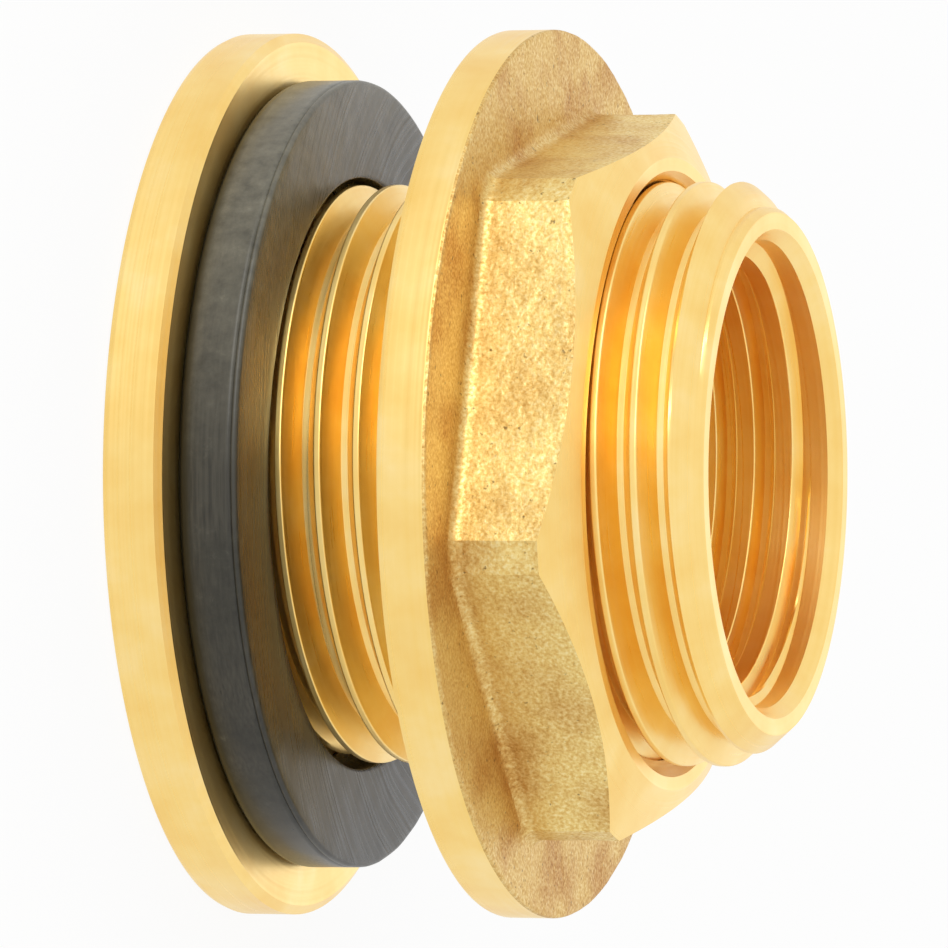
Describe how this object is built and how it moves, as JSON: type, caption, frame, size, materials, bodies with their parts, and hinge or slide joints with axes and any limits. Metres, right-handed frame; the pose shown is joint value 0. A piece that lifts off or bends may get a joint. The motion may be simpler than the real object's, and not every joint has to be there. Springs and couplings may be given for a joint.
{
  "type": "tank connector",
  "caption": "Flanged brass tank connector with a male outside thread, a female socket, a black rubber seal washer and a flanged hexagon nut that screws along the shank.",
  "frame": {"origin": "centre of the flange's back face, which the part stands on", "axes": "+Z along the pipe axis towards the outlet end; +X through a corner of the nut's hexagon as stored"},
  "size_m": [0.04, 0.04, 0.0249],
  "materials": {
    "turned_brass": "fine turned, satin",
    "black_rubber": "matte, lightly scuffed",
    "cast_brass": "as cast and blasted, with a turned rim and front"
  },
  "bodies": {
    "flanged_body": {"flanged_body": "turned_brass"},
    "seal_washer": {"seal_washer": "black_rubber"},
    "flange_nut": {"flange_nut": "cast_brass"}
  },
  "joints": [
    {"name": "nut_turn", "type": "hinge", "parent": "flanged_body", "child": "seal_washer", "pos_m": [0, 0, 0.0041], "axis": [0, 0, 1], "continuous": true},
    {"name": "nut_travel", "type": "slide", "parent": "seal_washer", "child": "flange_nut", "axis": [0, 0, 1], "range_m": [-0.007, 0.012]}
  ],
  "couplings": [
    {"joint": "nut_turn", "follows": "nut_travel", "rad_per_m": 3463.2}
  ]
}
